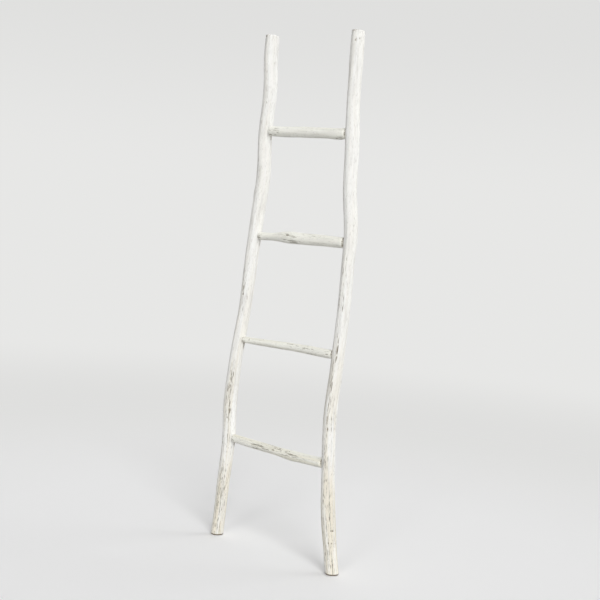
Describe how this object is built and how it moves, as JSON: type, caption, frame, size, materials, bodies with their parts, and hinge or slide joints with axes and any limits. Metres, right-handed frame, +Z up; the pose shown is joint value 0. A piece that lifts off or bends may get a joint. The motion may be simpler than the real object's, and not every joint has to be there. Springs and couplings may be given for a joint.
{
  "type": "decorative ladder",
  "caption": "Rustic leaning ladder of crooked whitewashed poles with round-tenoned branch rungs, for hanging towels and throws.",
  "frame": {"origin": "on the floor under the middle of the ladder's box, with both feet flat on z = 0", "axes": "+Z up along the rails, +X from the left rail to the right rail seen from the front, +Y to the back, towards the wall that it leans on"},
  "size_m": [0.501, 0.062, 1.5],
  "materials": {
    "whitewashed_wood": "distressed matt whitewash over peeled branch wood",
    "nail_steel": "steel nail, head painted over"
  },
  "bodies": {
    "root": {"left_rail": "whitewashed_wood", "right_rail": "whitewashed_wood", "rung_1": "whitewashed_wood", "rung_2": "whitewashed_wood", "rung_3": "whitewashed_wood", "rung_4": "whitewashed_wood", "rung_1_left_nail": "nail_steel", "rung_1_right_nail": "nail_steel", "rung_2_left_nail": "nail_steel", "rung_2_right_nail": "nail_steel", "rung_3_left_nail": "nail_steel", "rung_3_right_nail": "nail_steel", "rung_4_left_nail": "nail_steel", "rung_4_right_nail": "nail_steel"}
  },
  "joints": []
}
